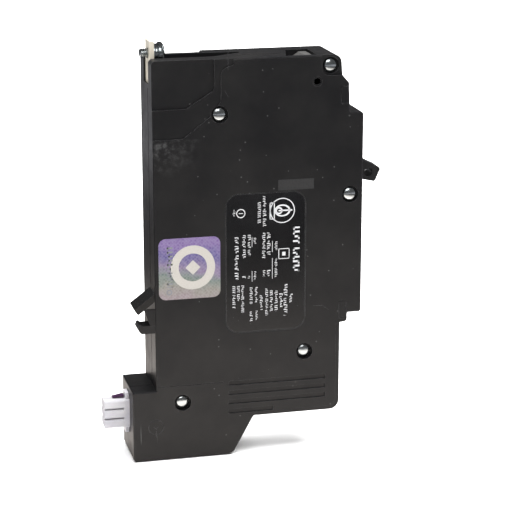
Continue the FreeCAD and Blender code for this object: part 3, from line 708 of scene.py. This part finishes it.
def makeWasher(name, span, split, look, stoodFor):
    start, end, radius = span
    ring = rod(name, (start * mm, 0, 0), (end * mm, 0, 0), radius * mm, 72)
    cutWith(ring, rod("cutter", (start * mm - mm, 0, 0), (end * mm + mm, 0, 0), look["bore"] * mm, 48))
    if split:
        low = ((start - 1) * mm, -2 * radius * mm, -look["gap"] * mm)
        cutter = block("cutter", low, ((end + 1) * mm, 0, look["gap"] * mm))
        takeUp(cutter)
        turn = -math.radians(look["lean"])
        bpy.ops.transform.rotate(value=turn, orient_axis="X", center_override=(0, 0, 0))
        settle(cutter)
        cutWith(ring, cutter)
    roundEdges(ring, look["edge"] * mm, 2, 40)
    evenShade(ring, 40)
    return finishAs(ring, stoodFor)


makeWasher("flat_washer", washerLook["flat"], False, washerLook, "line_flat_washer")
makeWasher("split_washer", washerLook["split"], True, washerLook, "line_lock_washer")
print("washers made")


# white control plug

plugLook = {
    "middle": -150.9, "pitch": 4.2, "mouth": -21.3, "tower": 1.98, "towerEnd": -12.7, "corner": 1.25,
    "hole": 1.2, "holeFloor": -13.9, "lip": 0.35, "lipDepth": 0.22, "towerEdge": 0.14,
    "body": (-13.0, -7.8, 4.2, 6.3), "flange": (-12.3, -10.75, 3.0, 8.9), "slabCorner": 1.1, "slabEdge": 0.18,
    "latch": (-17.4, -12.6, 1.6, -144.7, -143.3), "latchTaper": (1, 0.8, 0.45), "latchEdge": 0.2,
    "gasket": (-10.72, -10.1, 3.6, 7.3), "gasketEdge": 0.12,
}


def roundLongEdges(piece, width, steps):
    # only the edges that run from back to front
    startEdit(piece, "EDGE")
    pickEdges(piece, lambda a, b: abs(a.x - b.x) > mm)
    bpy.ops.mesh.bevel(offset=width * mm, segments=steps, affect="EDGES")
    endEdit()


def makeTower(look):
    side = look["tower"]
    low, high = Vector((look["mouth"], -side, -side)), Vector((look["towerEnd"], side, side))
    tower = block("tower", low * mm, high * mm)
    roundLongEdges(tower, look["corner"], 5)
    startEdit(tower)
    middle = pickFaces(tower, lambda middle, normal: normal.x < -0.9)
    bpy.ops.mesh.inset(thickness=look["lip"] * mm)
    bpy.ops.mesh.extrude_region_move(TRANSFORM_OT_translate={"value": ahead * (look["lipDepth"] * mm)})
    endEdit()
    reach = Vector((look["holeFloor"] * mm, 0, 0))
    cutWith(tower, rod("cutter", middle - ahead * mm, reach, look["hole"] * mm, 32))
    roundEdges(tower, look["towerEdge"] * mm, 2, 40)
    return tower


def makeSlab(name, middle, start, end, half, reach):
    low, high = Vector((start, -half, middle - reach)), Vector((end, half, middle + reach))
    return block(name, low * mm, high * mm)


def makePlug(look):
    tower = makeTower(look)
    pieces = []
    for row in (-1, 0, 1):
        for column in (-0.5, 0.5):
            place = Vector((0, column * look["pitch"], look["middle"] + row * look["pitch"]))
            pieces.append(copyOf(tower, "lobe", place * mm))
    bpy.data.objects.remove(tower)
    for span in (look["body"], look["flange"]):
        slab = makeSlab("slab", look["middle"], *span)
        roundLongEdges(slab, look["slabCorner"], 4)
        roundEdges(slab, look["slabEdge"] * mm, 2, 40)
        pieces.append(slab)
    start, end, half, low, high = look["latch"]
    latch = block("latch", Vector((start, -half, low)) * mm, Vector((end, half, high)) * mm)
    startEdit(latch)
    pickFaces(latch, lambda middle, normal: normal.x < -0.9)
    bpy.ops.transform.resize(value=look["latchTaper"], center_override=Vector((start, 0, low)) * mm)
    endEdit()
    roundEdges(latch, look["latchEdge"] * mm, 2, 30)
    gasket = makeSlab("gasket", look["middle"], *look["gasket"])
    roundEdges(gasket, look["gasketEdge"] * mm, 2, 30)
    # the latch is painted dark violet for the shade that lies on it, and the gasket takes the same colour
    dark = joinAll([latch, gasket], "plug_latch")
    evenShade(dark, 35)
    finish(dark, bodyOf["control_plug"], latchShade, "white_nylon")
    piece = joinAll(pieces, "plug_housing")
    evenShade(piece, 40)
    return finish(piece, bodyOf["control_plug"], finishes["white_nylon"], "white_nylon", "control_plug")


makePlug(plugLook)
print("plug made")


# printing: blocks of strokes that stand for words, and simple signs

ratingPrint = {
    "left": 28.8, "top": -57.0, "face": -12.6, "lift": 0.015, "bury": 0.01,
    "stroke": (0.36, 0.60), "gap": 0.17, "space": 0.9, "word": (3, 8),
    # boxes are across the label low and high, then down it from and to
    "lines": [
        (28.6, 31.4, 15.2, 34.2), (20.8, 21.9, 21.0, 24.6), (20.8, 21.9, 28.4, 36.4), (17.5, 19.0, 17.0, 26.6),
        (17.5, 19.0, 33.0, 35.6), (15.5, 16.8, 17.0, 27.8), (15.5, 16.8, 33.0, 35.6), (15.8, 17.2, 1.6, 14.4),
        (13.6, 14.9, 4.0, 12.8), (11.9, 12.9, 18.9, 21.7), (11.9, 12.9, 33.2, 36.8), (9.4, 10.7, 17.5, 26.3),
        (9.4, 10.7, 35.0, 36.0), (7.1, 8.5, 17.5, 27.6), (7.1, 8.5, 35.0, 36.0), (3.9, 5.5, 18.2, 36.2),
        (3.1, 4.2, 6.6, 9.8), (27.2, 28.6, 43.9, 47.8), (24.7, 26.3, 39.6, 53.1), (22.8, 24.3, 43.4, 49.3),
        (20.8, 22.1, 42.1, 50.8), (18.8, 20.0, 41.9, 51.5), (16.8, 18.0, 40.9, 52.5), (14.5, 15.7, 43.7, 50.0),
        (12.4, 13.6, 40.0, 46.5), (12.4, 13.6, 50.2, 54.6), (10.2, 11.4, 40.0, 47.0), (10.2, 11.4, 50.4, 54.6),
        (6.6, 7.8, 38.9, 50.5), (4.8, 6.0, 39.0, 45.5), (2.9, 4.1, 39.0, 48.5),
    ],
    "rules": [(19.7, 19.9, 20.7, 25.4), (19.7, 19.9, 28.0, 36.8), (11.1, 11.3, 18.6, 22.7),
              (11.1, 11.3, 33.0, 37.5)],
    "frame": (22.4, 27.1, 24.1, 28.6), "frameWidth": 0.3, "frameHeart": (24.0, 25.4, 25.6, 27.2),
    # rings are across, down, outer and inner radius, and squash
    "sign": [(24.0, 8.0, 5.3, 4.9), (24.0, 8.0, 3.4, 2.6, 0.75), (22.6, 8.0, 1.5, 0.9)],
    "signFoot": (18.6, 20.8, 4.4, 11.6), "signFootWidth": 0.4, "signBar": (22.4, 28.2, 7.7, 8.3),
    "smallSign": (6.5, 8.3, 1.9, 1.55), "smallBar": (5.6, 7.4, 8.15, 8.45),
}
random.seed(8)


def stamp(look, u0, u1, s0, s1):
    x, z, face = look["left"], look["top"], look["face"]
    low = Vector((x + u0, face - look["lift"], z - s1))
    high = Vector((x + u1, face + look["bury"], z - s0))
    return block("mark", low * mm, high * mm)


def printWords(look, line):
    # strokes of uneven width and height in groups, with word spaces between
    u0, u1, s, end = line
    height = u1 - u0
    marks = []
    left = random.randint(*look["word"])
    while s < end:
        wide = height * random.uniform(*look["stroke"])
        low = u0 + height * random.choice((0, 0, 0.25))
        high = u1 - height * random.choice((0, 0, 0.3))
        marks.append(stamp(look, low, high, s, min(s + wide * 0.55, end)))
        thick = height * 0.24
        foot, top = random.choice([(low, low + thick), (high - thick, high)])
        marks.append(stamp(look, foot, top, s, min(s + wide, end)))
        s += wide + height * look["gap"]
        left -= 1
        if left == 0:
            s += height * look["space"] * 0.5
            left = random.randint(*look["word"])
    return marks


def printFrame(look, frame, width):
    u0, u1, s0, s1 = frame
    sides = [(u0, u0 + width, s0, s1), (u1 - width, u1, s0, s1), (u0, u1, s0, s0 + width),
             (u0, u1, s1 - width, s1)]
    return [stamp(look, *side) for side in sides]


def printRing(look, u, s, outer, inner, squash=1.0):
    middle = Vector((look["left"] + u, 0, look["top"] - s)) * mm
    face = look["face"] * mm
    low, high = face - look["lift"] * mm, face + look["bury"] * mm
    ring = rod("ring", middle + across * low, middle + across * high, outer * mm, 56)
    low, high = face - mm, face + mm
    cutWith(ring, rod("cutter", middle + across * low, middle + across * high, inner * mm, 56))
    takeUp(ring)
    bpy.ops.transform.resize(value=(1, 1, squash), center_override=middle)
    return settle(ring)


def printRating(look):
    marks = []
    for line in look["lines"]:
        marks += printWords(look, line)
    marks += [stamp(look, *rule) for rule in look["rules"]]
    marks += printFrame(look, look["frame"], look["frameWidth"])
    marks += [printRing(look, *ring) for ring in look["sign"]]
    marks += printFrame(look, look["signFoot"], look["signFootWidth"])
    marks.append(stamp(look, *look["signBar"]))
    marks.append(stamp(look, *look["frameHeart"]))
    marks.append(printRing(look, *look["smallSign"]))
    marks.append(stamp(look, *look["smallBar"]))
    piece = joinAll(marks, "rating_print")
    return finish(piece, bodyOf["rating_label"], paleInk, "rating_label")


printRating(ratingPrint)
print("rating print laid")


# security label: a foil sheet with a ring, a turned square and a bar

sealLook = {
    "low": (0.9, -12.805, -99.9), "high": (26.6, -12.7, -74.1), "corner": 3.0, "left": 0.9, "top": -74.1,
    "face": -12.805, "lift": 0.014, "bury": 0.01, "ring": (14.2, 12.6, 9.3, 5.9), "square": 4.4,
    "bar": (3.5, 5.8, 3.5, 20.5), "small": (4.3, 22.6, 1.2, 0.7),
    "stroke": (0.34, 0.62), "gap": 0.2, "space": 0.4, "word": (8, 9),
}


def makeSeal(look):
    sheet = block("foil_label", Vector(look["low"]) * mm, Vector(look["high"]) * mm)
    startEdit(sheet, "EDGE")
    pickEdges(sheet, lambda a, b: abs(a.y - b.y) > 0.05 * mm)
    bpy.ops.mesh.bevel(offset=look["corner"] * mm, segments=8, affect="EDGES")
    endEdit()
    evenShade(sheet, 35)
    finish(sheet, bodyOf["security_label"], finishes["security_label"], "security_label", "security_label")
    u, s, outer, inner = look["ring"]
    ring = printRing(look, u, s, outer, inner)
    half = look["square"] / 2
    square = stamp(look, u - half, u + half, s - half, s + half)
    middle = Vector((look["left"] + u, 0, look["top"] - s)) * mm
    takeUp(square)
    bpy.ops.transform.rotate(value=math.radians(45), orient_axis="Y", center_override=middle)
    settle(square)
    emblem = joinAll([ring, square], "seal_emblem")
    finish(emblem, bodyOf["security_label"], emblemInk, "security_label")
    marks = printWords(look, look["bar"]) + [printRing(look, *look["small"])]
    bar = joinAll(marks, "seal_bar")
    finish(bar, bodyOf["security_label"], greyInk, "security_label")


makeSeal(sealLook)
print("seal laid")


# moulding marks: an arrow, fine witness lines, the web by the jaw and the flash on the parting line

witness = {
    "face": -12.7, "lift": 0.05, "bury": 0.02, "width": 0.12, "ring": (-1.1, -154.8),
    "webLow": (-5.4, -12.3, -110.8), "webHigh": (-0.7, -11.2, -103.6), "webLean": 2.6,
    "beads": [((-0.90, -3.40, -95.5), (-0.70, -3.20, -13.5)), ((-0.90, -3.40, -138.6), (-0.70, -3.20, -114.5)),
              ((-10.2, -3.40, -139.3), (-0.9, -3.20, -139.12)), ((31.5, -3.38, -1.70), (54.2, -3.22, -1.54))],
    "arrow": [(0, -1.7, 0, 1.1), (-1.0, 0.3, 0, 1.5), (1.0, 0.3, 0, 1.5)],
    "lines": [(30.2, -6.2, 30.2, -16.8), (30.2, -16.8, 28.8, -19.4), (66.4, -106.8, 70.1, -106.8),
              (70.1, -106.8, 73.0, -104.6)],
}


def makeStrip(look, x0, z0, x1, z1):
    run = Vector((x1 - x0, 0, z1 - z0))
    half = look["width"] / 2 * mm
    low = (0, (look["face"] - look["lift"]) * mm, -half)
    high = (run.length * mm, (look["face"] + look["bury"]) * mm, half)
    strip = block("line", low, high)
    takeUp(strip)
    bpy.ops.transform.rotate(value=-math.atan2(run.z, run.x), orient_axis="Y", center_override=(0, 0, 0))
    settle(strip)
    takeUp(strip)
    bpy.ops.transform.translate(value=Vector((x0, 0, z0)) * mm)
    return settle(strip)


def makeWeb(look):
    # thin web on the cover between the hook and the fixed jaw
    low, high = Vector(look["webLow"]) * mm, Vector(look["webHigh"]) * mm
    web = block("jaw_web", low, high)
    startEdit(web, "EDGE")
    pickEdges(web, lambda a, b: max(a.x, b.x) < low.x + 0.1 * mm and max(a.z, b.z) < low.z + 0.1 * mm)
    bpy.ops.transform.translate(value=Vector((look["webLean"], 0, 0)) * mm)
    endEdit()
    roundEdges(web, 0.15 * mm, 2, 30)
    evenShade(web, 30)
    return finish(web, bodyOf["cover"], finishes["case_plastic"], "case_plastic")


def makeWitness(look):
    x, z = look["ring"]
    marks = [makeStrip(look, *line) for line in look["lines"]]
    marks += [makeStrip(look, x + a, z + b, x + c, z + d) for a, b, c, d in look["arrow"]]
    piece = joinAll(marks, "mould_marks")
    return finish(piece, bodyOf["cover"], finishes["case_plastic"], "case_plastic")


def makeBeads(look):
    # fine flash along the parting line of the two shells
    beads = [block("bead", Vector(low) * mm, Vector(high) * mm) for low, high in look["beads"]]
    piece = joinAll(beads, "parting_flash")
    return finish(piece, bodyOf["base"], finishes["hook_plastic"], "case_plastic")


makeWitness(witness)
makeWeb(witness)
makeBeads(witness)
print("mould marks made")


# floor, light and camera

studio = {
    "camera": (-0.12904, -0.7127, 0.11472), "look": (0.2284, 0.9367, -0.2654), "lens": 127.8, "sensor": 36,
    "floor": (0.84, 0.84, 0.84), "floorSize": 14, "floorBack": 2.0, "floorDrop": 0.4, "world": 0.10,
    # the sheet of painted reflection: its painted pale pool of light by the foot, and where its outer part
    # begins and is reached
    "sheetSize": 12, "sheetDrop": 0.2,
    "poolAt": (0.03, -0.02), "pool": (0.08, 0.30), "rim": (0.46, 0.62),
    "near": (0.62, 0.57, 0.53), "far": (0.004, 0.004, 0.004), "outer": (0.16, 0.16, 0.17),
    # place, aim, size, power, and whether shiny surfaces see it
    "lights": {
        "overhead": ((0.15, 0.25, 1.25), (0.15, 0.25, 0), (2.2, 2.0), 84, False),
        "backdrop": ((0.3, 2.0, 1.3), (0.3, 1.8, -0.2), (2.6, 1.4), 66, False),
        "right_fill": ((0.7, -0.4, 1.1), (0.15, 0.05, -0.17), (0.9, 0.9), 20, False),
        "front_soft": ((-0.3, -1.0, 0.9), (0.03, 0, -0.08), (1.1, 0.7), 7, True),
        "right_strip": ((0.9, 0.2, 0.45), (0.03, 0, -0.08), (0.25, 0.7), 1.5, True),
    },
}


def makeStage():
    bpy.ops.object.select_all(action="DESELECT")
    place = (0, studio["floorBack"], cadBox[0].z - studio["floorDrop"] * mm)
    bpy.ops.mesh.primitive_plane_add(size=studio["floorSize"], location=place)
    floor = settle(bpy.context.object, "floor")
    p = Paint("Studio floor")
    rough = 0.75 + (p.noise(3) - 0.5) * 0.05
    floor.data.materials.append(p.shade(Base_Color=(*studio["floor"], 1), Roughness=rough))


def makeLight(name, place, aim, size, power, seenInShine):
    bpy.ops.object.light_add(type="AREA", location=place)
    light = bpy.context.object
    light.name = name
    light.data.shape = "RECTANGLE"
    light.data.size, light.data.size_y = size
    light.data.energy = power
    light.rotation_euler = (Vector(aim) - Vector(place)).to_track_quat("-Z", "Y").to_euler()
    light.visible_glossy = seenInShine


def makePaintedReflectionSheet(look):
    # a sheet just over the floor that only shiny surfaces see, a painted dark reflection with a painted pale
    # pool of light by the foot of the breaker
    bpy.ops.object.select_all(action="DESELECT")
    place = (0, 0, cadBox[0].z - look["sheetDrop"] * mm)
    bpy.ops.mesh.primitive_plane_add(size=look["sheetSize"], location=place)
    sheet = settle(bpy.context.object, "painted_reflection_sheet")
    p = Paint("Painted reflection sheet")
    foot = (*look["poolAt"], cadBox[0].z)
    away = p.add("ShaderNodeVectorMath", {"operation": "DISTANCE"}, {0: p.place, 1: foot}, "Value")
    share = p.band(away, *look["pool"]) + (p.noise(5) - 0.5) * 0.1
    rim = p.band(away, *look["rim"])
    # painted reflection: pale by the foot, dark further out and grey at the outer part
    colour = p.mix(rim, p.mix(share, look["near"], look["far"]), look["outer"])
    sheet.data.materials.append(p.shade(Base_Color=colour, Roughness=0.8 + (p.noise(9) - 0.5) * 0.1))
    sheet.visible_camera = False
    sheet.visible_diffuse = False
    sheet.visible_shadow = False
    sheet.visible_transmission = False


def makeCamera():
    bpy.ops.object.camera_add(location=studio["camera"])
    camera = bpy.context.object
    camera.data.lens = studio["lens"]
    camera.data.sensor_width = studio["sensor"]
    camera.rotation_euler = Vector(studio["look"]).to_track_quat("-Z", "Y").to_euler()
    bpy.context.scene.camera = camera


def makeWorld():
    world = bpy.data.worlds.new("Soft room")
    bpy.context.scene.world = world
    world.use_nodes = True
    sky = world.node_tree.nodes["Background"]
    sky.inputs["Color"].default_value = (1, 1, 1, 1)
    sky.inputs["Strength"].default_value = studio["world"]


makeStage()
for name, values in studio["lights"].items():
    makeLight(name, *values)
makePaintedReflectionSheet(studio)
makeCamera()
makeWorld()
bpy.context.scene.view_settings.view_transform = "Standard"
print("studio set")
